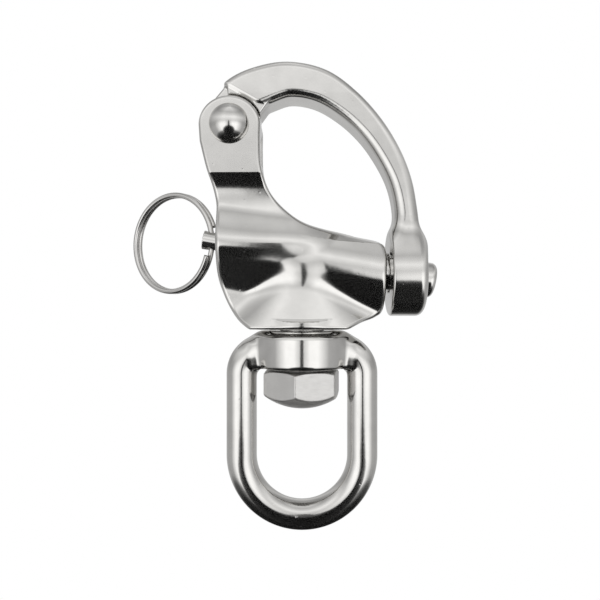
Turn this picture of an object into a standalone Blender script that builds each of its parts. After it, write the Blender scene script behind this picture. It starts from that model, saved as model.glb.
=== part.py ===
"""Stainless swivel-eye snap shackle, 87 mm class, as an assembly of its real pieces.

Frame: +Z runs up the swivel axis towards the jaw, +X points to the side where the plunger's
nose latches the jaw, and Y is the thickness. The origin is the centre of the eye's round bow,
on the swivel axis. Lengths are millimetres here and are written out in metres.
"""

import math

import bmesh
import bpy
from mathutils import Matrix, Vector

MM = 0.001
GAP = 0.3  # clearance left between pieces that touch or turn on each other

# Swivel eye: round wire bow with a bored collar
WIRE_R = 2.8
BOW_R = 11.2
LEG_TOP = 15.0
SHOULDER_R = 4.7
COLLAR_R = 8.0
COLLAR_LOW, COLLAR_HIGH = 16.0, 22.4
RIM_R, RIM_HIGH = 6.1, 23.0

# Swivel bolt: hexagon head with a domed end, M8 shank
HEX_AF = 13.0
HEX_TURN = math.radians(20.5)
HEX_LOW, HEX_HIGH = 10.65, 15.65
HEX_CHAMFER = 0.7
DOME_LOW = 8.6
SHANK_R = 3.9
SHANK_TOP = 31.4

# Shackle body: clevis, neck, plunger barrel and swivel boss in one casting
BODY_LOW = 23.3
BODY_LEFT, BODY_RIGHT = -15.4, 15.5
BARREL_R = 6.5
BARREL_DROP = 0.8
CLEVIS_HALF = 5.5
WEB_HALF = 4.6
NECK_HALF = 4.2
NECK_Z = 48.0
NECK_HOLLOW_R = 11.0
SLOT_HALF = 2.5
SLOT_FLOOR = 53.8
CHEEK_R = 5.7
LEFT_EDGE = [(-18.5, 57.0), (-17.4, 52.5), (-16.1, 48.2), (-15.4, 43.8), (-15.3, 38.0), (-15.1, 33.0),
             (-14.3, 30.2), (-13.0, 27.3), (-11.4, 25.0), (-9.2, BODY_LOW)]
RIGHT_EDGE = [(7.8, BODY_LOW), (10.5, 24.6), (13.2, 25.6), (14.6, 27.2), (14.9, 33.0), (14.6, 38.6),
              (10.0, 40.3), (4.0, 41.5), (0.4, 42.7), (-2.4, 44.6), (-4.7, 46.9), (-6.2, 49.4),
              (-7.2, 53.0), (-7.35, 57.5)]
BOSS_PROFILE = [(8.5, BODY_LOW), (8.5, 25.4), (7.3, 28.0), (6.4, 31.5), (6.0, 36.0)]

# Jaw hinge and its rivet
HINGE = (-13.0, 60.0)
RIVET_R = 2.2
RIVET_HOLE_R = 2.5
HEAD_R = 3.6
HEAD_HIGH = 2.4

# Plunger: nose, shoulder and tail on one tilted axis
AXIS_TILT = math.radians(10.2)
AXIS_Z = 36.5  # height of the plunger axis where it crosses the swivel axis
NOSE_R = 3.25
NOSE_TIP = 24.9
NOSE_ROUND = 1.0
HEAD_START = 6.6
TAIL_R = 1.75
TAIL_END = -18.6
BORE_R = 3.6
BORE_START = -13.0
TAIL_HOLE_R = 2.05
RING_HOLE_R = 0.85
RING_X = -16.75

# Return spring round the tail
SPRING_R = 2.9
SPRING_WIRE_R = 0.4
SPRING_TURNS = 9

# Jaw: centre line of the curved bar with the bar's width at each point
JAW_HALF = 4.0
JAW_LINE = [(-11.3, 65.6, 7.4), (-6.7, 67.7, 7.2), (-2.0, 68.7, 6.4), (3.5, 67.5, 6.0),
            (8.5, 64.2, 5.3), (12.7, 59.9, 4.8), (15.9, 55.0, 4.5), (18.0, 50.1, 4.2),
            (19.0, 45.0, 4.2), (19.1, 41.0, 5.2), (19.1, 36.5, 6.2)]
TONGUE_HALF = 2.2
TONGUE_R = 5.5
STEP_R = 6.4  # the bar is full thickness only further from the hinge than this
EYE_LEFT, EYE_RIGHT = 15.9, 22.4
EYE_R = 7.4
EYE_HOLE_R = 3.6

# Pull ring: split ring of nearly two turns through the plunger's tail
RING_R = 9.3
RING_WIRE_R = 0.5
RING_PITCH = 1.08
RING_END_ANGLE = math.radians(17)
RING_TURN = math.radians(-30)


def remove_everything():
    for found in list(bpy.data.objects):
        bpy.data.objects.remove(found, do_unlink=True)


def steel(name, colour, roughness):
    material = bpy.data.materials.new(name)
    material.use_nodes = True
    shader = material.node_tree.nodes["Principled BSDF"]
    shader.inputs["Base Color"].default_value = (*colour, 1.0)
    shader.inputs["Metallic"].default_value = 1.0
    shader.inputs["Roughness"].default_value = roughness
    return material


def finished(name, work, material=None):
    """Turns a bmesh in millimetres into an object in metres; without a material it is a cutter."""
    bmesh.ops.transform(work, matrix=Matrix.Scale(MM, 4), verts=work.verts)
    bmesh.ops.recalc_face_normals(work, faces=work.faces)
    mesh = bpy.data.meshes.new(name)
    work.to_mesh(mesh)
    work.free()
    mesh.shade_smooth()
    mesh.set_sharp_from_angle(angle=math.radians(35))
    made = bpy.data.objects.new(name, mesh)
    bpy.context.scene.collection.objects.link(made)
    if material is None:
        made.hide_render = True
        made.display_type = "WIRE"
    else:
        mesh.materials.append(material)
    return made


def boolean(target, other, operation):
    modifier = target.modifiers.new(operation.lower() + "_" + other.name, "BOOLEAN")
    modifier.operation = operation
    modifier.solver = "EXACT"
    modifier.object = other


def smooth_line(points, steps):
    """A Catmull-Rom curve through the points, with the end tangents held."""
    ends = [Vector(points[0]) * 2 - Vector(points[1]), *map(Vector, points)]
    ends.append(Vector(points[-1]) * 2 - Vector(points[-2]))
    line = []
    for a, b, c, d in zip(ends, ends[1:], ends[2:], ends[3:]):
        for step in range(steps):
            t = step / steps
            line.append(0.5 * (2 * b + (c - a) * t + (2 * a - 5 * b + 4 * c - d) * t * t
                               + (3 * b - a - 3 * c + d) * t * t * t))
    line.append(Vector(points[-1]))
    return line


def arc(centre, radius, start, end, steps):
    angles = [start + (end - start) * step / steps for step in range(steps + 1)]
    return [(centre[0] + radius * math.cos(a), centre[1] + radius * math.sin(a)) for a in angles]


def bridge(work, rings, closed=False):
    """Joins rings of vertices into a skin, capped at both ends unless it closes on itself."""
    pairs = zip(rings, rings[1:] + rings[:1]) if closed else zip(rings, rings[1:])
    for near, far in pairs:
        for side in range(len(near)):
            after = (side + 1) % len(near)
            work.faces.new((near[side], near[after], far[after], far[side]))
    if not closed:
        work.faces.new(list(reversed(rings[0])))
        work.faces.new(rings[-1])


def prism(outline, half):
    """An XZ outline given thickness from -half to +half in Y."""
    work = bmesh.new()
    rings = [[work.verts.new((x, y, z)) for x, z in outline] for y in (-half, half)]
    bridge(work, rings)
    return work


def turned(profile, sides, start=0.0):
    """A solid of revolution about +Z from (radius, height) points, flat at both ends."""
    work = bmesh.new()
    rings = []
    for radius, height in profile:
        turns = [start + math.tau * side / sides for side in range(sides)]
        rings.append([work.verts.new((radius * math.cos(a), radius * math.sin(a), height)) for a in turns])
    bridge(work, rings)
    return work


def swept(line, sections):
    """A skin through one flat section at each point of a line; a section holds (across, Y) pairs."""
    work = bmesh.new()
    rings = []
    for index, (point, section) in enumerate(zip(line, sections)):
        ahead = line[min(index + 1, len(line) - 1)]
        behind = line[max(index - 1, 0)]
        along = Vector((ahead[0] - behind[0], 0, ahead[1] - behind[1])).normalized()
        across = Vector((along.z, 0, -along.x))
        centre = Vector((point[0], 0, point[1]))
        rings.append([work.verts.new(centre + across * a + Vector((0, y, 0))) for a, y in section])
    bridge(work, rings)
    return work


def rounded_section(width, thickness, corner, steps=2):
    """Corner points of a rectangle of width by thickness with round corners."""
    half_w, half_t = width / 2 - corner, thickness / 2 - corner
    places = [(half_w, half_t, 0), (-half_w, half_t, 90), (-half_w, -half_t, 180), (half_w, -half_t, 270)]
    section = []
    for across, y, turn in places:
        section += arc((across, y), corner, math.radians(turn), math.radians(turn + 90), steps)
    return section


def along_plunger(work):
    """Lays a solid built along +Z onto the plunger axis, +Z becoming the way the nose points."""
    turn = Matrix.Rotation(math.pi / 2 + AXIS_TILT, 4, "Y")
    place = Matrix.Translation((0, 0, AXIS_Z)) @ turn
    bmesh.ops.transform(work, matrix=place, verts=work.verts)
    return work


def along_y(work, x, z):
    """Lays a solid built along +Z onto a line through (x, z) parallel to Y."""
    place = Matrix.Translation((x, 0, z)) @ Matrix.Rotation(-math.pi / 2, 4, "X")
    bmesh.ops.transform(work, matrix=place, verts=work.verts)
    return work


def cylinder(radius, low, high, sides=32):
    return turned([(radius, low), (radius, high)], sides)


def make_swivel_eye(material):
    """The bow of round wire runs from one side of the collar round to the other."""
    shoulder = arc((BOW_R - SHOULDER_R, LEG_TOP), SHOULDER_R, math.pi / 2, 0, 5)
    bow = arc((0, 0), BOW_R, 0, -math.pi, 20)
    right = [(4.5, LEG_TOP + SHOULDER_R), *shoulder, (BOW_R, LEG_TOP / 2)]
    left = [(-x, z) for x, z in reversed(right)]
    line = right + bow + left
    wire = [arc((0, 0), WIRE_R, 0, math.tau * 13 / 14, 13)] * len(line)
    eye = finished("swivel_eye", swept(line, wire), material)
    chamfer = 0.6
    collar = finished("eye_collar", turned([
        (COLLAR_R - chamfer, COLLAR_LOW), (COLLAR_R, COLLAR_LOW + chamfer), (COLLAR_R, COLLAR_HIGH - 1.2),
        (COLLAR_R - 1.2, COLLAR_HIGH), (RIM_R, COLLAR_HIGH), (RIM_R - 0.3, RIM_HIGH)], 32))
    boolean(eye, collar, "UNION")
    bore = finished("eye_bore", cylinder(SHANK_R + GAP, COLLAR_LOW - 3, RIM_HIGH + 2))
    boolean(eye, bore, "DIFFERENCE")
    under = finished("eye_under", cylinder(HEX_AF * 0.62, COLLAR_LOW - 4, COLLAR_LOW))
    boolean(eye, under, "DIFFERENCE")
    return eye


def make_swivel_bolt(material):
    flat_r = HEX_AF / 2
    corner_r = flat_r / math.cos(math.pi / 6)
    start = math.radians(-90) + HEX_TURN + math.pi / 6
    bolt = finished("swivel_bolt", turned([
        (corner_r, HEX_LOW), (corner_r, HEX_HIGH)], 6, start), material)
    top = flat_r - 0.2
    dome = [(2.0, DOME_LOW), (4.0, DOME_LOW + 0.5), (top, HEX_LOW - 0.3)]
    envelope = finished("bolt_envelope", turned([
        *dome, (corner_r, HEX_LOW + HEX_CHAMFER), (corner_r, HEX_HIGH - HEX_CHAMFER), (top, HEX_HIGH)], 36))
    boolean(bolt, envelope, "INTERSECT")
    domed = finished("bolt_dome", turned([*dome, (top, HEX_LOW + 0.2)], 36))
    boolean(bolt, domed, "UNION")
    shank = finished("bolt_shank", turned([
        (SHANK_R, HEX_HIGH - 1), (SHANK_R, SHANK_TOP - 0.8), (SHANK_R - 0.8, SHANK_TOP)], 32))
    boolean(bolt, shank, "UNION")
    return bolt


def make_shackle_body(material):
    cheek = arc(HINGE, CHEEK_R, math.radians(-10), math.radians(200), 16)
    outline = cheek + smooth_line(LEFT_EDGE, 2) + smooth_line(RIGHT_EDGE, 2)
    outline = [tuple(point) for point in outline]
    body = finished("shackle_body", prism(outline, CLEVIS_HALF), material)
    for side in (-1, 1):
        hollow = cylinder(NECK_HOLLOW_R, -40, 40, 48)
        place = Matrix.Translation((0, side * (NECK_HALF + NECK_HOLLOW_R), NECK_Z)) @ Matrix.Rotation(
            math.pi / 2, 4, "Y")
        bmesh.ops.transform(hollow, matrix=place, verts=hollow.verts)
        boolean(body, finished(f"neck_hollow_{side + 1}", hollow), "DIFFERENCE")
        web = prism([(-20, 20), (20, 20), (20, 41), (-20, 41)], 3)
        bmesh.ops.translate(web, vec=(0, side * (WEB_HALF + 3), 0), verts=web.verts)
        boolean(body, finished(f"web_side_{side + 1}", web), "DIFFERENCE")
    barrel = along_plunger(cylinder(BARREL_R, -17.5, 17.5, 40))
    bmesh.ops.translate(barrel, vec=(0, 0, -BARREL_DROP), verts=barrel.verts)
    barrel = finished("barrel", barrel)
    ends = prism([(BODY_LEFT, 20), (BODY_RIGHT, 20), (BODY_RIGHT, 50), (BODY_LEFT, 50)], 10)
    boolean(barrel, finished("barrel_ends", ends), "INTERSECT")
    boolean(body, barrel, "UNION")
    boolean(body, finished("swivel_boss", turned(BOSS_PROFILE, 36)), "UNION")
    slot = prism([(-22, SLOT_FLOOR), (0, SLOT_FLOOR), (0, 70), (-22, 70)], SLOT_HALF)
    boolean(body, finished("clevis_slot", slot), "DIFFERENCE")
    rivet_hole = along_y(cylinder(RIVET_HOLE_R, -8, 8, 28), *HINGE)
    boolean(body, finished("rivet_hole", rivet_hole), "DIFFERENCE")
    bore = along_plunger(turned([(TAIL_HOLE_R, -22), (TAIL_HOLE_R, BORE_START), (BORE_R, BORE_START),
                                 (BORE_R, 22)], 32))
    boolean(body, finished("plunger_bore", bore), "DIFFERENCE")
    bolt_hole = cylinder(SHANK_R + GAP, BODY_LOW - 2, SHANK_TOP + GAP)
    boolean(body, finished("bolt_hole", bolt_hole), "DIFFERENCE")
    return body


def make_hinge_rivet(material):
    """A plain shank with a domed head upset on each side of the clevis."""
    seat = CLEVIS_HALF + GAP
    dome = [(HEAD_R * math.cos(a), seat + 0.3 + HEAD_HIGH * math.sin(a))
            for a in [math.radians(turn) for turn in range(0, 90, 14)]]
    half = [(RIVET_R, 0), (RIVET_R, seat), (HEAD_R, seat), *dome]
    profile = [(r, -h) for r, h in reversed(half)] + half[1:]
    return finished("hinge_rivet", along_y(turned(profile, 28), *HINGE), material)


def make_plunger(material):
    tip = [(NOSE_R - NOSE_ROUND * (1 - math.cos(a)), NOSE_TIP - NOSE_ROUND * (1 - math.sin(a)))
           for a in [math.radians(turn) for turn in (0, 30, 60, 90)]]
    profile = [(TAIL_R - 0.3, TAIL_END), (TAIL_R, TAIL_END + 0.3), (TAIL_R, HEAD_START), (NOSE_R, HEAD_START),
               *tip]
    plunger = finished("plunger", along_plunger(turned(profile, 28)), material)
    cross_hole = cylinder(RING_HOLE_R, -4, 4, 20)
    bmesh.ops.translate(cross_hole, vec=(RING_X, 0, AXIS_Z - RING_X * math.tan(AXIS_TILT)),
                        verts=cross_hole.verts)
    boolean(plunger, finished("ring_hole", cross_hole), "DIFFERENCE")
    return plunger


def make_plunger_spring(material):
    """A compression spring between the end of the bore and the plunger's shoulder."""
    start, end = BORE_START + GAP + SPRING_WIRE_R, HEAD_START - GAP - SPRING_WIRE_R
    steps = SPRING_TURNS * 12
    work = bmesh.new()
    rings = []
    for step in range(steps + 1):
        part = step / steps
        turn = math.tau * SPRING_TURNS * part
        out = Vector((math.cos(turn), math.sin(turn), 0))
        centre = out * (SPRING_R - SPRING_WIRE_R + 0.15) + Vector((0, 0, start + (end - start) * part))
        ring = []
        for side in range(6):
            around = math.tau * side / 6
            offset = out * math.cos(around) + Vector((0, 0, 1)) * math.sin(around)
            ring.append(work.verts.new(centre + offset * SPRING_WIRE_R))
        rings.append(ring)
    bridge(work, rings)
    return finished("plunger_spring", along_plunger(work), material)


def make_jaw(material):
    line = smooth_line(JAW_LINE, 3)
    sections = [rounded_section(point[2], 2 * JAW_HALF, 1.4) for point in line]
    jaw = finished("jaw", swept(line, sections), material)
    boolean(jaw, finished("tongue_step", along_y(cylinder(STEP_R, -8, 8, 40), *HINGE)), "DIFFERENCE")
    tongue = arc(HINGE, TONGUE_R, math.radians(130), math.radians(380), 20)
    tongue += [(-5.6, 65.0), (-4.5, 68.6), (-9.5, 69.8), (-13.5, 67.6)]
    boolean(jaw, finished("tongue", prism(tongue, TONGUE_HALF)), "UNION")
    eye = turned([(EYE_R - 1.2, EYE_LEFT), (EYE_R, EYE_LEFT + 1.2), (EYE_R, EYE_RIGHT - 1.8),
                  (EYE_R - 1.8, EYE_RIGHT)], 36)
    place = Matrix.Translation((0, 0, AXIS_Z - 19.1 * math.tan(AXIS_TILT))) @ Matrix.Rotation(
        math.pi / 2, 4, "Y")
    bmesh.ops.transform(eye, matrix=place, verts=eye.verts)
    boolean(jaw, finished("jaw_eye", eye), "UNION")
    face = prism([(EYE_LEFT - 8, 24), (EYE_LEFT, 24), (EYE_LEFT, 41.5), (EYE_LEFT - 8, 41.5)], 9)
    boolean(jaw, finished("jaw_face", face), "DIFFERENCE")
    boolean(jaw, finished("nose_hole", along_plunger(cylinder(EYE_HOLE_R, 12, 28))), "DIFFERENCE")
    pivot = along_y(cylinder(RIVET_HOLE_R, -8, 8, 28), *HINGE)
    boolean(jaw, finished("jaw_pivot_hole", pivot), "DIFFERENCE")
    return jaw


def make_pull_ring(material):
    """The wire passes the tail's hole once, half way along, and its ends stop either side of it."""
    sweep = math.tau - RING_END_ANGLE
    steps = 72
    rings = []
    work = bmesh.new()
    for step in range(steps + 1):
        turn = -sweep + 2 * sweep * step / steps
        out = Vector((math.cos(turn), 0, -math.sin(turn)))
        centre = out * RING_R + Vector((0, RING_PITCH * turn / math.tau, 0))
        ring = []
        for side in range(8):
            around = math.tau * side / 8
            offset = out * math.cos(around) + Vector((0, 1, 0)) * math.sin(around)
            ring.append(work.verts.new(centre + offset * RING_WIRE_R))
        rings.append(ring)
    bridge(work, rings)
    hole = Matrix.Translation((RING_X, 0, AXIS_Z - RING_X * math.tan(AXIS_TILT)))
    place = hole @ Matrix.Rotation(RING_TURN, 4, "Z") @ Matrix.Translation((-RING_R, 0, 0))
    bmesh.ops.transform(work, matrix=place, verts=work.verts)
    return finished("pull_ring", work, material)


def main():
    remove_everything()
    cast = steel("cast_polished_steel", (0.66, 0.65, 0.63), 0.16)
    turned_steel = steel("turned_polished_steel", (0.68, 0.67, 0.65), 0.12)
    wire = steel("wire_steel", (0.62, 0.61, 0.60), 0.20)
    make_swivel_eye(cast)
    make_swivel_bolt(turned_steel)
    make_shackle_body(cast)
    make_hinge_rivet(turned_steel)
    make_plunger(turned_steel)
    make_plunger_spring(wire)
    make_jaw(cast)
    make_pull_ring(wire)


main()
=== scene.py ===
"""The snap shackle's looks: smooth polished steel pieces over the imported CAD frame.

Cast and turned pieces are described as distance fields in millimetres and meshed with a
surface net whose points are then drawn onto the exact surface. Wire pieces are swept tubes.
"""

import math

import bpy
import numpy as np
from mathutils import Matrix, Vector

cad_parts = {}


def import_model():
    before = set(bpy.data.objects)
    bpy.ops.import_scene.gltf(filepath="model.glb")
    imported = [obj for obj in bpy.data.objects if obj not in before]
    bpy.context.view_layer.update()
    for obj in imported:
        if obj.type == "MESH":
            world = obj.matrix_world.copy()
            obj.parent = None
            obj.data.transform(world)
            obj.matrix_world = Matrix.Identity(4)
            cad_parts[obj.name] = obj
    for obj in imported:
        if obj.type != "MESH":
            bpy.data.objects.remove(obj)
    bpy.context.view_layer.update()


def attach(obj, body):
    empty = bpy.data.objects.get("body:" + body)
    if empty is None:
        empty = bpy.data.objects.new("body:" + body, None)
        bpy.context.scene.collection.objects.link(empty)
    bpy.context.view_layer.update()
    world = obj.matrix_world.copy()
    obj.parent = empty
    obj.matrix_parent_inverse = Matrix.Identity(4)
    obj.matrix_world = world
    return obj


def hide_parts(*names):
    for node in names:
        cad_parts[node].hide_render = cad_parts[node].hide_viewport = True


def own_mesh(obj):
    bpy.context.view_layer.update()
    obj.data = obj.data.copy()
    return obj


MM = 0.001

# Driving sizes, as the CAD frame has them
WIRE_R, BOW_R, LEG_TOP, SHOULDER_R = 2.8, 11.2, 15.0, 4.7
COLLAR_R, COLLAR_LOW, COLLAR_HIGH = 8.0, 16.0, 22.4
RIM_R, RIM_HIGH = 6.0, 23.0
HEX_FLAT_R, HEX_HIGH, DOME_LOW = 6.5, 15.65, 8.6
HEX_TURN = math.radians(20.5)
SHANK_R, SHANK_TOP, RUNNING_GAP = 3.9, 31.4, 0.3
HEAD_DOME_R = 11.8
BODY_LOW, BODY_RIGHT = 23.3, 15.5
BARREL_R, BARREL_DROP, WEB_HALF = 6.5, 0.8, 3.6
BOSS_HIGH, FOOT_R = 37.5, 8.3
CLEVIS_HALF, SLOT_HALF, SLOT_FLOOR = 5.5, 2.5, 53.8
ARM_LOW, NECK_HALF, NECK_AT = 38.0, 4.1, 47.0
HINGE, CHEEK_R = (-13.0, 60.0), 5.7
RIVET_R, RIVET_HOLE_R, HEAD_R, HEAD_HIGH = 2.2, 2.5, 3.6, 2.4
TILT, AXIS_Z = math.radians(10.2), 36.5
NOSE_R, NOSE_TIP, SHOULDER_AT = 3.25, 24.9, 6.6
TAIL_R, TAIL_END, TAIL_HOLE_R = 1.75, -18.6, 2.05
BORE_R, BORE_START, RING_HOLE_R, RING_X = 3.6, -13.0, 0.85, -16.75
JAW_HALF, TONGUE_HALF, TONGUE_R = 4.0, 2.2, 5.5
EYE_LEFT, EYE_X, EYE_RIGHT, EYE_R = 15.9, 19.1, 22.4, 7.4
RING_R, RING_WIRE_R, RING_PITCH = 9.27, 0.5, 1.08
RING_END_ANGLE, RING_TURN = math.radians(17), math.radians(-30)
SPRING_R, SPRING_WIRE_R, SPRING_TURNS, SPRING_GAP = 2.9, 0.4, 9, 0.3

LEFT_EDGE = [(-18.5, 57.0), (-17.4, 52.5), (-16.1, 48.2), (-15.4, 43.8), (-15.3, 38.0), (-15.1, 33.0),
             (-14.3, 30.2), (-13.0, 27.3), (-11.4, 25.0), (-9.2, BODY_LOW)]
RIGHT_EDGE = [(7.8, BODY_LOW), (10.5, 24.6), (13.2, 25.6), (14.6, 27.2), (14.9, 33.0), (14.6, 38.6),
              (10.0, 40.3), (4.0, 41.5), (0.4, 42.7), (-2.4, 44.6), (-4.7, 46.9), (-6.2, 49.4),
              (-7.2, 53.0), (-7.35, 57.5)]
JAW_LINE = [(-14.9, 61.5, 7.4), (-11.3, 65.6, 7.4), (-6.7, 67.7, 7.2), (-2.0, 68.65, 6.4), (3.5, 67.5, 6.0),
            (8.5, 64.2, 5.3), (12.7, 59.9, 4.8), (15.9, 55.0, 4.5), (18.0, 50.1, 4.2),
            (19.0, 45.0, 4.2), (19.1, 41.0, 5.0), (19.1, 36.5, 6.0)]
STEP_FACES, STEP_AT = math.radians(60.2), 6.0
LIP_END, LIP_R, LIP_HALF = math.radians(94), 5.8, 3.65
TONGUE_LINK = [(-17.2, 62.5), (-16.2, 65.2), (-14.2, 67.6), (-11.7, 69.2), (-8.6, 70.6), (-4.8, 66.0),
               (-8.0, 61.6)]


# ---------------------------------------------------------------- curves and fields

def smooth_line(points, steps):
    """A Catmull-Rom curve through the points, as an array."""
    p = np.array([*points], float)
    p = np.vstack([2 * p[0] - p[1], p, 2 * p[-1] - p[-2]])
    line = []
    for a, b, c, d in zip(p, p[1:], p[2:], p[3:]):
        for t in np.arange(steps) / steps:
            line.append(0.5 * (2 * b + (c - a) * t + (2 * a - 5 * b + 4 * c - d) * t ** 2
                               + (3 * b - a - 3 * c + d) * t ** 3))
    return np.array(line + [p[-2]])


def arc(centre, radius, start, end, steps):
    angles = np.linspace(start, end, steps + 1)
    return np.stack([centre[0] + radius * np.cos(angles), centre[1] + radius * np.sin(angles)], 1)


def soft_min(a, b, k):
    h = np.clip(0.5 + 0.5 * (b - a) / k, 0, 1)
    return b * (1 - h) + a * h - k * h * (1 - h)


def soft_max(a, b, k):
    return -soft_min(-a, -b, k)


def round_max(a, b, radius):
    """Where two solids meet, with a round edge of the given radius."""
    u, v = a + radius, b + radius
    return np.minimum(np.maximum(u, v), 0) + np.hypot(np.maximum(u, 0), np.maximum(v, 0)) - radius


def line_distance(x, z, line):
    """Distance to an XZ polyline, and the line's third value (such as a width) at the nearest point."""
    best, value = np.full(np.broadcast_shapes(x.shape, z.shape), 1e9), 0.0
    for a, b in zip(line, line[1:]):
        run = b[:2] - a[:2]
        t = np.clip(((x - a[0]) * run[0] + (z - a[1]) * run[1]) / (run @ run), 0, 1)
        far = np.hypot(x - a[0] - t * run[0], z - a[1] - t * run[1])
        near = far < best
        if len(a) > 2:
            value = np.where(near, a[2] + t * (b[2] - a[2]), value)
        best = np.where(near, far, best)
    return best, value


def inside_outline(x, z, outline):
    """Signed distance to a closed XZ outline, below zero inside it."""
    closed = np.vstack([outline, outline[:1]])
    far, _ = line_distance(x, z, closed)
    odd = np.zeros(far.shape, bool)
    for (ax, az), (bx, bz) in zip(closed, closed[1:]):
        if az != bz:
            odd ^= ((az > z) != (bz > z)) & (x < (bx - ax) * (z - az) / (bz - az) + ax)
    return np.where(odd, -far, far)


def on_axis(x, z):
    """Place along and across the plunger's tilted axis."""
    along = x * math.cos(TILT) - (z - AXIS_Z) * math.sin(TILT)
    return along, x * math.sin(TILT) + (z - AXIS_Z) * math.cos(TILT)


def neck_half(z):
    """Half thickness of the arm: flat cheeks, a tight hollow under them, then out to the barrel."""
    tight, wide = 7.3, 11.0
    off = (z - NECK_AT) ** 2
    above = NECK_HALF + tight - np.sqrt(np.maximum(tight ** 2 - off, 1.0))
    below = NECK_HALF + wide - np.sqrt(np.maximum(wide ** 2 - off, 30.0))
    return np.where(z > NECK_AT, np.minimum(above, CLEVIS_HALF), soft_min(below, 6.2, 1.2))


CHEEK_TOP = (1.0, 0.94)  # the cheeks are a little flattened above the rivet
BODY_OUTLINE = np.vstack([arc((0, 0), CHEEK_R, 0, math.pi, 60) * CHEEK_TOP + HINGE,
                          smooth_line(LEFT_EDGE, 6), smooth_line(RIGHT_EDGE, 6)])
JAW_CURVE = smooth_line(JAW_LINE, 8)  # rows are X, Z and the bar's width there


def body_field(x, y, z):
    """The casting: arm with clevis, plunger barrel and flared swivel boss, then its slot and bores."""
    deep = np.abs(y)
    outline = inside_outline(x, z, BODY_OUTLINE)
    thin = 0.035 * np.maximum(x + 4.0, 0) ** 2
    arm = round_max(soft_max(outline, ARM_LOW - z, 1.0), deep - neck_half(z) + thin, 0.9)
    along, across = on_axis(x, z + BARREL_DROP)
    barrel = np.hypot(across, y) - BARREL_R
    web = np.maximum(deep - WEB_HALF, z - ARM_LOW)
    body = soft_min(soft_min(arm, barrel, 2.4), web, 2.4)
    flare = np.clip((BOSS_HIGH - z) / (BOSS_HIGH - BODY_LOW), 0, 1.2)
    wide, thick = 4.0 + 13.2 * flare ** 1.6, 5.6 + 2.6 * flare ** 1.4
    boss = (np.hypot(x / wide, y / thick) - 1) * thick * 0.8
    boss = soft_max(boss, z - 35.2, 2.2)
    body = soft_min(body, boss, 1.8)
    foot = np.maximum(np.hypot(x, y) - FOOT_R, z - BODY_LOW - 1.3)
    body = soft_min(body, foot, 0.8)
    body = round_max(body, outline - 0.1, 0.8)
    body = round_max(body, x - BODY_RIGHT, 0.6)
    body = round_max(body, BODY_LOW - z, 0.35)
    slot = np.maximum(deep - SLOT_HALF, SLOT_FLOOR - z)
    body = round_max(body, -slot, 0.3)
    body = round_max(body, RIVET_HOLE_R - np.hypot(x - HINGE[0], z - HINGE[1]), 0.2)
    along, across = on_axis(x, z)
    bore = np.maximum(np.hypot(across, y) - BORE_R, BORE_START - along)
    bore = np.minimum(bore, np.hypot(across, y) - TAIL_HOLE_R)
    body = round_max(body, -bore, 0.3)
    bolt_hole = np.maximum(np.hypot(x, y) - SHANK_R, z - SHANK_TOP) - RUNNING_GAP
    return round_max(body, -bolt_hole, 0.3)


def jaw_field(x, y, z):
    """The jaw: a curved bar, stepped down to its tongue at the hinge, with a bored latching eye."""
    deep = np.abs(y)
    far, width = line_distance(x, z, JAW_CURVE)
    low = np.clip((66.0 - z) / 22.0, 0, 1)
    bar = round_max(far - width / 2, deep - (JAW_HALF - 0.5 * low), 1.3 + 0.6 * low)
    step = (x - HINGE[0]) * math.cos(STEP_FACES) + (z - HINGE[1]) * math.sin(STEP_FACES) - STEP_AT
    around_hinge = np.hypot(x - HINGE[0], z - HINGE[1])
    bar = round_max(bar, -soft_max(step, around_hinge - 8.4, 1.2), 0.7)
    tongue = around_hinge - TONGUE_R
    link = inside_outline(x, z, np.array(TONGUE_LINK))
    tongue = round_max(soft_min(tongue, link, 0.8), deep - TONGUE_HALF, 0.5)
    eye = np.hypot(y, z - AXIS_Z + EYE_X * math.tan(TILT)) - EYE_R
    eye = round_max(round_max(eye, x - EYE_RIGHT, 1.5), EYE_LEFT - x, 0.6)
    jaw = soft_min(soft_min(bar, eye, 3.2), tongue, 0.5)
    past_lip = (z - HINGE[1]) * math.cos(LIP_END) - (x - HINGE[0]) * math.sin(LIP_END)
    lip = np.maximum(np.maximum(link + 0.1, LIP_R - around_hinge), past_lip)
    jaw = soft_min(jaw, round_max(lip, deep - LIP_HALF, 0.3), 0.35)
    jaw = round_max(jaw, np.where(z < 43.0, EYE_LEFT - x, -9.0), 0.5)
    along, across = on_axis(x, z)
    hole = np.maximum(np.hypot(across, y) - BORE_R, 12 - along)
    jaw = round_max(jaw, -hole, 0.3)
    return round_max(jaw, RIVET_HOLE_R - around_hinge, 0.2)


def eye_line():
    """The middle line of the eye's wire, from the collar round the bow and back."""
    shoulder = arc((BOW_R - SHOULDER_R, LEG_TOP), SHOULDER_R, math.pi / 2, 0, 24)
    right = np.vstack([(3.0, LEG_TOP + SHOULDER_R), shoulder])
    left = right[::-1] * (-1, 1)
    return np.vstack([right, arc((0, 0), BOW_R, 0, -math.pi, 90), left])


EYE_LINE = eye_line()


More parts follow.
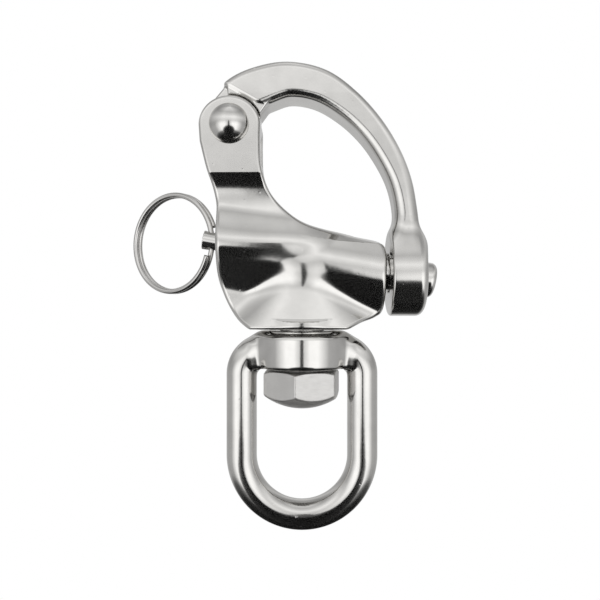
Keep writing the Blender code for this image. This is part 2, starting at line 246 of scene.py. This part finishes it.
def eye_field(x, y, z):
    """The swivel eye: a round-wire bow that runs into a bored collar with a raised rim."""
    far, _ = line_distance(x, z, EYE_LINE)
    wire = np.hypot(far, y) - WIRE_R
    around = np.hypot(x, y)
    middle = (COLLAR_LOW + COLLAR_HIGH) / 2
    collar = round_max(around - COLLAR_R, np.abs(z - middle) - (COLLAR_HIGH - COLLAR_LOW) / 2, 0.9)
    eye = soft_min(wire, collar, 2.2)
    web = round_max(round_max(np.abs(x) - 10.0, np.abs(y) - 2.6, 1.5), np.abs(z - 18.5) - 2.5, 0.8)
    eye = soft_min(eye, web, 0.8)
    under = np.maximum(around - 7.9, np.abs(z - 13.0) - 3.0)
    eye = round_max(eye, -under, 0.15)
    rim = round_max(around - RIM_R, np.abs(z - 20.0) - (RIM_HIGH - 20.0), 0.25)
    eye = soft_min(eye, rim, 0.3)
    bore = np.maximum(around - SHANK_R - RUNNING_GAP, COLLAR_LOW - 6.0 - z)
    return round_max(eye, -bore, 0.3)


def bolt_field(x, y, z):
    """The swivel bolt: a hexagon head with a domed end and a plain shank."""
    head = -99.0
    for side in range(3):
        turn = HEX_TURN - math.pi / 2 + side * math.pi / 3
        flat = np.abs(x * math.cos(turn) + y * math.sin(turn)) - HEX_FLAT_R
        head = flat if side == 0 else round_max(head, flat, 0.15)
    around = np.hypot(x, y)
    head = round_max(head, z - HEX_HIGH, 0.1)
    top = (around - HEX_FLAT_R - 0.1 + (z - HEX_HIGH) * 1.75) / 2.0
    head = round_max(head, top, 0.15)
    dome = np.hypot(around, z - DOME_LOW - HEAD_DOME_R) - HEAD_DOME_R
    head = round_max(head, dome, 0.25)
    shank = round_max(around - SHANK_R, np.abs(z - 21.0) - (SHANK_TOP - 21.0), 0.6)
    return np.minimum(head, shank)


def rivet_field(x, y, z):
    """The hinge rivet, with a domed head on each cheek."""
    around = np.hypot(x - HINGE[0], z - HINGE[1])
    deep = np.abs(y)
    seat = CLEVIS_HALF + 0.12
    ball = (HEAD_R ** 2 + HEAD_HIGH ** 2) / (2 * HEAD_HIGH)
    dome = np.hypot(around, deep - seat - 0.3 - HEAD_HIGH + ball) - ball
    head = round_max(round_max(dome, around - HEAD_R, 0.25), seat - deep, 0.12)
    return np.minimum(head, np.maximum(around - RIVET_R, deep - seat - 1.0))


def plunger_field(x, y, z):
    """The latch plunger: a thin tail with the ring's cross hole, and a thick nose."""
    along, across = on_axis(x, z)
    around = np.hypot(across, y)
    middle = (TAIL_END + SHOULDER_AT) / 2
    tail = round_max(around - TAIL_R, np.abs(along - middle) - (SHOULDER_AT - TAIL_END) / 2 - 0.5, 0.35)
    tail = np.maximum(tail, TAIL_END - along)
    middle = (NOSE_TIP + SHOULDER_AT) / 2
    nose = round_max(around - NOSE_R, np.abs(along - middle) - (NOSE_TIP - SHOULDER_AT) / 2, 1.1)
    plunger = np.minimum(tail, nose)
    return round_max(plunger, RING_HOLE_R - np.hypot(x - RING_X, y), 0.12)


# ---------------------------------------------------------------- meshing

def surface_net(values, low, step):
    """Points and quads of the zero surface of a grid of values."""
    inside = values < 0
    cells = [(slice(i, i - 1 or None), slice(j, j - 1 or None), slice(k, k - 1 or None))
             for i in (0, 1) for j in (0, 1) for k in (0, 1)]
    count = sum(inside[c].astype(np.int8) for c in cells)
    active = (count > 0) & (count < 8)
    number = np.full(active.shape, -1, np.int64)
    where = np.argwhere(active)
    number[active] = np.arange(len(where))
    total, hits = np.zeros((len(where), 3)), np.zeros(len(where))
    corners = [np.array([i, j, k]) for i in (0, 1) for j in (0, 1) for k in (0, 1)]
    for a in corners:
        for axis in range(3):
            if a[axis]:
                continue
            b = a.copy()
            b[axis] = 1
            va, vb = values[tuple((where + a).T)], values[tuple((where + b).T)]
            cross = (va < 0) != (vb < 0)
            t = va / np.where(cross, va - vb, 1)
            point = where + a + (b - a) * t[:, None]
            total += np.where(cross[:, None], point, 0)
            hits += cross
    points = low + step * total / hits[:, None]
    quads = []
    for axis in range(3):
        u, v = [(1, 2), (2, 0), (0, 1)][axis]
        size = [slice(1, -1)] * 3
        size[axis] = slice(0, -1)
        after = list(size)
        after[axis] = slice(1, None)
        change = inside[tuple(size)] != inside[tuple(after)]
        place = np.argwhere(change) + [0 if i == axis else 1 for i in range(3)]
        du, dv = np.eye(3, dtype=int)[u], np.eye(3, dtype=int)[v]
        ring = [place - du - dv, place - dv, place, place - du]
        quad = np.stack([number[tuple(r.T)] for r in ring], 1)
        out = inside[tuple(place.T)]
        quads.append(np.where(out[:, None], quad, quad[:, ::-1]))
    return points, np.vstack(quads)


def gradient(field, points, reach):
    """Slope of a field at points, by central differences."""
    x, y, z = points.T
    slope = [field(x + dx, y + dy, z + dz) - field(x - dx, y - dy, z - dz)
             for dx, dy, dz in np.eye(3) * reach]
    return np.stack(slope, 1) / (2 * reach)


def modelled(name, field, low, high, step, material):
    """Meshes a field between two corners and draws its points onto the exact surface."""
    low, high = np.array(low, float), np.array(high, float)
    axes = [np.arange(a, b + step, step) for a, b in zip(low, high)]
    grid = np.broadcast_to(field(axes[0][:, None, None], axes[1][None, :, None], axes[2][None, None, :]),
                           [len(a) for a in axes])
    points, quads = surface_net(grid, low, step)
    for _ in range(3):
        slope = gradient(field, points, 0.02)
        size = np.maximum((slope ** 2).sum(1), 0.2)
        push = field(*points.T) / size
        points = points - slope * np.clip(push, -0.5 * step, 0.5 * step)[:, None]
    slope = gradient(field, points, 0.04)
    normals = slope / np.maximum(np.linalg.norm(slope, axis=1), 1e-6)[:, None]
    return mesh_piece(name, points, quads.tolist(), material, normals)


def mesh_piece(name, points, faces, material, normals=None):
    mesh = bpy.data.meshes.new(name)
    mesh.from_pydata((np.asarray(points) * MM).tolist(), [], faces)
    mesh.validate()
    mesh.shade_smooth()
    if normals is not None:
        mesh.normals_split_custom_set_from_vertices(normals.tolist())
    mesh.materials.append(material)
    piece = bpy.data.objects.new(name, mesh)
    bpy.context.scene.collection.objects.link(piece)
    return piece


def tube(name, centres, outs, sides_dir, radius, sides, material):
    """A round wire along centres; outs and sides_dir span each section; ends are rounded over."""
    angles = np.arange(sides) * math.tau / sides
    shape = [np.cos(angles)[:, None], np.sin(angles)[:, None]]
    along = np.cross(outs, sides_dir)
    rings = []
    last = len(centres) - 1
    caps = [(0.25, -0.97), (0.7, -0.71), (0.93, -0.37)]
    order = [(0, k, r) for r, k in caps] + [(i, 0, 1) for i in range(last + 1)]
    order += [(last, -k, r) for r, k in reversed(caps)]
    for i, push, grow in order:
        middle = centres[i] + along[i] * push * radius * 0.6
        rings.append(middle + radius * grow * (shape[0] * outs[i] + shape[1] * sides_dir[i]))
    points = np.vstack(rings)
    faces = [(r * sides + s, r * sides + (s + 1) % sides, (r + 1) * sides + (s + 1) % sides,
              (r + 1) * sides + s) for r in range(len(rings) - 1) for s in range(sides)]
    faces += [tuple(reversed(range(sides))), tuple(range(len(points) - sides, len(points)))]
    return mesh_piece(name, points, [face[::-1] for face in faces], material)


def turn_about_z(points, angle):
    c, s = math.cos(angle), math.sin(angle)
    return points @ np.array([[c, s, 0], [-s, c, 0], [0, 0, 1]])


def make_ring(material):
    """The split ring: nearly two turns of wire, turned towards the camera."""
    sweep = math.tau - RING_END_ANGLE
    turns = np.linspace(-sweep, sweep, 420)
    outs = np.stack([np.cos(turns), 0 * turns, -np.sin(turns)], 1)
    centres = outs * RING_R
    centres[:, 1] = RING_PITCH * turns / math.tau
    centres[:, 0] -= RING_R
    hole = (RING_X, 0, AXIS_Z - RING_X * math.tan(TILT))
    centres = turn_about_z(centres, RING_TURN) + hole
    outs = turn_about_z(outs, RING_TURN)
    side = turn_about_z(np.tile([0.0, 1.0, 0.0], (len(turns), 1)), RING_TURN)
    return tube("split_ring", centres, outs, side, RING_WIRE_R, 20, material)


def make_spring(material):
    """The return spring round the plunger's tail."""
    start, end = BORE_START + SPRING_GAP + SPRING_WIRE_R, SHOULDER_AT - SPRING_GAP - SPRING_WIRE_R
    part = np.linspace(0, 1, SPRING_TURNS * 40)
    turns = math.tau * SPRING_TURNS * part
    along = np.array([math.cos(TILT), 0, -math.sin(TILT)])
    up = np.array([math.sin(TILT), 0, math.cos(TILT)])
    outs = np.cos(turns)[:, None] * up + np.sin(turns)[:, None] * np.array([0, 1.0, 0])
    centres = outs * (SPRING_R - SPRING_WIRE_R + 0.15) + along * (start + (end - start) * part)[:, None]
    centres = centres + np.array([0, 0, AXIS_Z])
    side = np.tile(along, (len(turns), 1))
    return tube("return_spring", centres, outs, side, SPRING_WIRE_R, 12, material)


# ---------------------------------------------------------------- materials

def steel(name, colour, rough, pits, wave):
    """Polished stainless steel: slow waviness, fine polishing marks, faint stains and tiny pits."""
    material = bpy.data.materials.new(name)
    material.use_nodes = True
    tree = material.node_tree
    shader = tree.nodes["Principled BSDF"]
    shader.inputs["Metallic"].default_value = 1.0

    def node(kind, **values):
        made = tree.nodes.new(kind)
        for key, value in values.items():
            made.inputs[key].default_value = value
        return made

    def ramp(source, points):
        made = tree.nodes.new("ShaderNodeValToRGB")
        for at, (place, value) in enumerate(points):
            stop = made.color_ramp.elements[at] if at < 2 else made.color_ramp.elements.new(place)
            stop.position = place
            stop.color = (*value, 1) if isinstance(value, tuple) else (value, value, value, 1)
        tree.links.new(source, made.inputs["Fac"])
        return made.outputs["Color"]

    place = tree.nodes.new("ShaderNodeTexCoord").outputs["Object"]
    fine = node("ShaderNodeTexNoise", Scale=2600.0, Detail=4.0, Roughness=0.6)
    slow = node("ShaderNodeTexNoise", Scale=260.0, Detail=3.0)
    stretch = tree.nodes.new("ShaderNodeMapping")
    stretch.inputs["Scale"].default_value = (900.0, 900.0, 9000.0)
    streak = node("ShaderNodeTexNoise", Scale=1.0, Detail=3.0)
    pit = node("ShaderNodeTexVoronoi", Scale=420.0)
    tree.links.new(place, stretch.inputs["Vector"])
    tree.links.new(stretch.outputs["Vector"], streak.inputs["Vector"])
    for texture in (fine, slow, pit):
        tree.links.new(place, texture.inputs["Vector"])

    dark = tuple(c * 0.90 for c in colour)
    tint = ramp(slow.outputs["Fac"], [(0.30, dark), (0.72, colour)])
    tree.links.new(tint, shader.inputs["Base Color"])

    mixed = tree.nodes.new("ShaderNodeMath")
    mixed.operation = "MULTIPLY_ADD"
    mixed.inputs[1].default_value = rough * 0.9
    mixed.inputs[2].default_value = rough * 0.55
    tree.links.new(streak.outputs["Fac"], mixed.inputs[0])
    tree.links.new(mixed.outputs[0], shader.inputs["Roughness"])

    holes = ramp(pit.outputs["Distance"], [(0.0, 0.0), (0.09, 1.0)])
    bumps = None
    layers = [(slow.outputs["Fac"], wave), (streak.outputs["Fac"], 0.0015), (fine.outputs["Fac"], 0.0008)]
    if pits:
        layers.append((holes, pits))
    for source, strength in layers:
        bump = node("ShaderNodeBump", Strength=strength, Distance=0.0004)
        tree.links.new(source, bump.inputs["Height"])
        if bumps:
            tree.links.new(bumps, bump.inputs["Normal"])
        bumps = bump.outputs["Normal"]
    tree.links.new(bumps, shader.inputs["Normal"])
    return material


def glowing(name, level):
    """A matt surface that is its own light."""
    material = bpy.data.materials.new(name)
    material.use_nodes = True
    shader = material.node_tree.nodes["Principled BSDF"]
    shader.inputs["Base Color"].default_value = (0, 0, 0, 1)
    shader.inputs["Roughness"].default_value = 1.0
    shader.inputs["Specular IOR Level"].default_value = 0.0
    shader.inputs["Emission Color"].default_value = (level, level, level, 1)
    shader.inputs["Emission Strength"].default_value = 1.0
    return material


# ---------------------------------------------------------------- studio

CENTRE = Vector((-0.004, 0.0, 0.029))
CAMERA_PLACE = (-0.37 * MM, -122.0 * MM, 28.6 * MM)
FOCAL_PX, FRAME_PX = 656.0, 600.0
SENSOR = 36.0
ROOM_R = 0.45
FLOOR_HALF, FLOOR_Z = 3.0, -0.60  # below the globe, so the steel doesn't reflect it


def room_light(side, rise):
    """Brightness of the room in a direction: bright soft boxes above a dark table front.

    Side is the angle from the camera's place, growing to the camera's right; rise is elevation.
    """
    aside = np.clip((np.abs(side) - 12) / 26, 0, 1)
    rise = np.where(rise < -4, np.minimum(rise * (1 - 0.6 * aside), -4), rise)
    level = np.interp(rise, [-90, -30, -20, -15, -12, -4, 5, 12, 20, 30, 42, 55, 68, 90],
                      [0.004, 0.005, 0.02, 0.22, 1.0, 1.1, 0.95, 0.82, 0.95, 1.15, 0.85, 0.62, 0.80, 1.0])
    low_sides = np.interp(np.abs(side), [0, 10, 20, 42, 58, 75, 110, 150, 180],
                          [0.80, 0.95, 1.30, 1.30, 0.90, 0.48, 0.42, 0.50, 0.60])
    high_sides = np.interp(np.abs(side), [0, 30, 70, 110, 180], [1.0, 1.05, 0.75, 0.50, 0.70])
    height = np.clip((rise - 4) / 14, 0, 1)
    level = level * (low_sides + (high_sides - low_sides) * height)
    lean = np.interp(rise, [-30, -14, 4, 14], [12.0, 4.0, 2.0, 0.0])
    shade = np.clip((np.abs(side) - lean) / 2.5, 0, 1)
    return level * np.where(rise < 12, 0.04 + 0.96 * shade, 1.0)


def make_room():
    """A large unseen globe round the object: the camera looks through it, the steel reflects it."""
    across, up = 360, 150
    side = np.linspace(-180, 180, across + 1)[:-1]
    rise = np.linspace(-89.5, 89.5, up)
    side_grid, rise_grid = np.meshgrid(side, rise)
    flat = np.cos(np.radians(rise_grid))
    out = np.stack([np.sin(np.radians(side_grid)) * flat, -np.cos(np.radians(side_grid)) * flat,
                    np.sin(np.radians(rise_grid))], -1).reshape(-1, 3)
    points = np.array(CENTRE) + out * ROOM_R
    faces = [(r * across + c, r * across + (c + 1) % across, (r + 1) * across + (c + 1) % across,
              (r + 1) * across + c) for r in range(up - 1) for c in range(across)]
    mesh = bpy.data.meshes.new("room")
    mesh.from_pydata(points.tolist(), [], faces)
    levels = room_light(side_grid, rise_grid).reshape(-1)
    glow = mesh.attributes.new("glow", "FLOAT", "POINT")
    glow.data.foreach_set("value", levels.astype(np.float32))
    material = bpy.data.materials.new("room_glow")
    material.use_nodes = True
    tree = material.node_tree
    tree.nodes.clear()
    read = tree.nodes.new("ShaderNodeAttribute")
    read.attribute_name = "glow"
    light = tree.nodes.new("ShaderNodeEmission")
    end = tree.nodes.new("ShaderNodeOutputMaterial")
    tree.links.new(read.outputs["Fac"], light.inputs["Strength"])
    tree.links.new(light.outputs["Emission"], end.inputs["Surface"])
    mesh.materials.append(material)
    room = bpy.data.objects.new("room", mesh)
    bpy.context.scene.collection.objects.link(room)
    room.visible_camera = False
    room.visible_shadow = False


def studio():
    """White background and floor, the room's globe and a long-lens camera."""
    scene = bpy.context.scene
    scene.view_settings.view_transform = "Standard"
    world = bpy.data.worlds.new("white_room")
    scene.world = world
    world.use_nodes = True
    world.node_tree.nodes["Background"].inputs["Color"].default_value = (1, 1, 1, 1)
    world.node_tree.nodes["Background"].inputs["Strength"].default_value = 1.0

    floor = bpy.data.meshes.new("floor")
    half, low = FLOOR_HALF, FLOOR_Z
    floor.from_pydata([(-half, -half, low), (half, -half, low), (half, half, low), (-half, half, low)], [],
                      [(0, 1, 2, 3)])
    floor.materials.append(glowing("pale_floor", 1.0))
    floor = bpy.data.objects.new("floor", floor)
    scene.collection.objects.link(floor)

    make_room()

    lens = bpy.data.cameras.new("camera")
    lens.sensor_width = SENSOR
    lens.lens = SENSOR * FOCAL_PX / FRAME_PX
    lens.clip_start = 0.005
    camera = bpy.data.objects.new("camera", lens)
    camera.location = CAMERA_PLACE
    camera.rotation_euler = (math.pi / 2, 0, 0)
    scene.collection.objects.link(camera)
    scene.camera = camera


# ---------------------------------------------------------------- the object

def place(piece, body, node, slot):
    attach(piece, body)
    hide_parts(node)


def main():
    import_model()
    cast = steel("cast_polished_steel", (0.71, 0.70, 0.68), 0.12, 0.08, 0.05)
    turned = steel("turned_polished_steel", (0.72, 0.71, 0.69), 0.12, 0.0, 0.02)
    forged = steel("satin_bolt_steel", (0.70, 0.69, 0.675), 0.42, 0.0, 0.03)
    wire = steel("bright_wire_steel", (0.70, 0.69, 0.675), 0.16, 0.0, 0.0)

    body = modelled("body_casting", body_field, (-19.5, -9, 22.5), (16.5, 9, 66.5), 0.22, cast)
    place(body, "casting", "shackle_body", "cast_steel")
    jaw = modelled("jaw_bar", jaw_field, (-19.5, -8.2, 24.8), (23.2, 8.2, 73), 0.22, cast)
    place(jaw, "jaw", "jaw", "cast_steel")
    eye = modelled("eye_bow", eye_field, (-14.8, -8.8, -14.8), (14.8, 8.8, 23.8), 0.22, cast)
    place(eye, "eye", "swivel_eye", "cast_steel")
    bolt = modelled("hexagon_bolt", bolt_field, (-8.2, -8.2, 8.0), (8.2, 8.2, 32.0), 0.14, forged)
    place(bolt, "casting", "swivel_bolt", "turned_steel")
    rivet = modelled("domed_rivet", rivet_field, (-17, -9.2, 56), (-9, 9.2, 64), 0.12, turned)
    place(rivet, "casting", "hinge_rivet", "turned_steel")
    plunger = modelled("latch_plunger", plunger_field, (-19.5, -3.8, 28), (25.6, 3.8, 42.5), 0.14, turned)
    place(plunger, "plunger", "plunger", "turned_steel")
    spring = make_spring(wire)
    place(spring, "casting", "plunger_spring", "wire_steel")
    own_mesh(spring)
    place(make_ring(wire), "ring", "pull_ring", "wire_steel")

    studio()


main()
